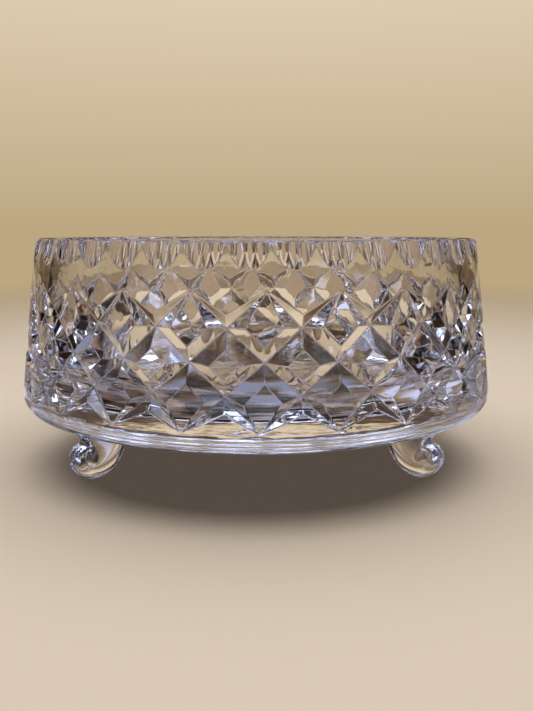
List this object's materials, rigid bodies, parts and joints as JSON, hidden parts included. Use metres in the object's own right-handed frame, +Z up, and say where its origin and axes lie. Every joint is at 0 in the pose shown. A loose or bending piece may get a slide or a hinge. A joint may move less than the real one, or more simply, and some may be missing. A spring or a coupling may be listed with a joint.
{
  "type": "punch bowl",
  "caption": "Heavy cut-crystal punch bowl with crossing mitre cuts, flat-topped diamonds, a thumb-cut rim and glass scroll feet.",
  "frame": {"origin": "on the bowl's vertical axis, at the level of the surface the feet stand on", "axes": "+Z up along the bowl's axis; -Y is the front, midway between the two front feet"},
  "size_m": [0.2486, 0.2486, 0.119],
  "materials": {
    "crystal": "polished clear lead crystal"
  },
  "bodies": {
    "root": {"bowl": "crystal", "foot_front_left": "crystal", "foot_front_right": "crystal", "foot_back": "crystal"}
  },
  "joints": []
}
